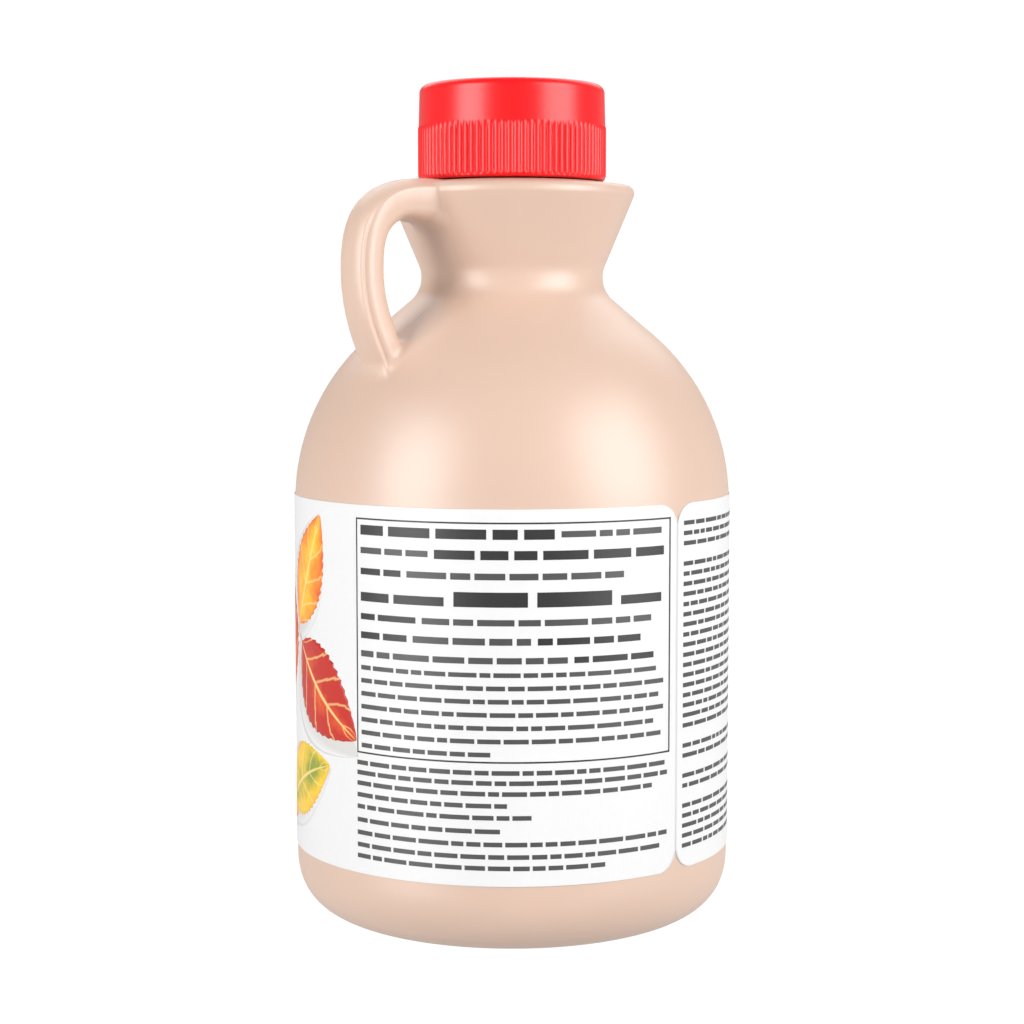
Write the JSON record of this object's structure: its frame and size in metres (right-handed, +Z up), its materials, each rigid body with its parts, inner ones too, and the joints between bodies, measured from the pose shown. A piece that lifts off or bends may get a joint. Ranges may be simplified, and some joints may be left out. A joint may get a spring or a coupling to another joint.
{
  "type": "syrup jug",
  "caption": "Round syrup jug in blow-moulded plastic with a domed shoulder, a flared collar, a small finger handle, a ribbed screw cap and a wrap-round label.",
  "frame": {"origin": "centre of the flat foot, on the surface that the jug stands on", "axes": "+Z up along the jug's axis, +X from the axis towards the handle, so the handle lies on the XZ plane; the label's front faces -Y"},
  "size_m": [0.082, 0.082, 0.1556],
  "materials": {
    "jug_plastic": "beige blow-moulded polyethylene, satin",
    "cap_plastic": "red injection-moulded polypropylene, satin gloss",
    "label_film": "white printed label film"
  },
  "bodies": {
    "root": {"jug": "jug_plastic", "cap": "cap_plastic", "label": "label_film"}
  },
  "joints": []
}
